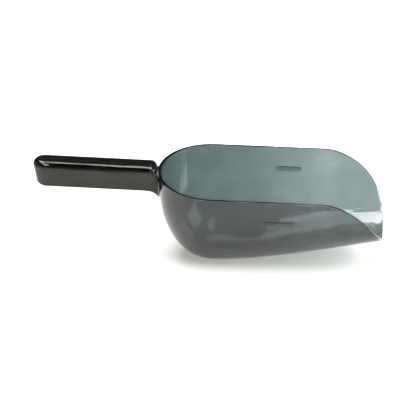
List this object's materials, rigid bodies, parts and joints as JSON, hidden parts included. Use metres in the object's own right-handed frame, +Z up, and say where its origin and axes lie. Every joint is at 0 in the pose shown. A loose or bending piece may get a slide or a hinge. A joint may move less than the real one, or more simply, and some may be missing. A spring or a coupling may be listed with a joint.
{
  "type": "ice scoop",
  "caption": "Smoky clear plastic ice scoop with a round-backed bowl, a raked mouth, moulded side marks and a hollow straight grip with a lid.",
  "frame": {"origin": "on the bowl's small flat foot, straight below the centre of the bowl's round back", "axes": "+X towards the mouth along the scoop's length, +Z up out of the bowl, +Y across the bowl to the left side as seen from the grip"},
  "size_m": [0.2998, 0.1018, 0.0838],
  "materials": {
    "bowl_plastic": "smoky grey-green clear plastic, glossy, lightly scuffed",
    "handle_plastic": "the same smoky plastic, near black where two walls lie behind each other"
  },
  "bodies": {
    "root": {"bowl": "bowl_plastic", "handle_shell": "handle_plastic", "handle_cover": "handle_plastic"}
  },
  "joints": []
}
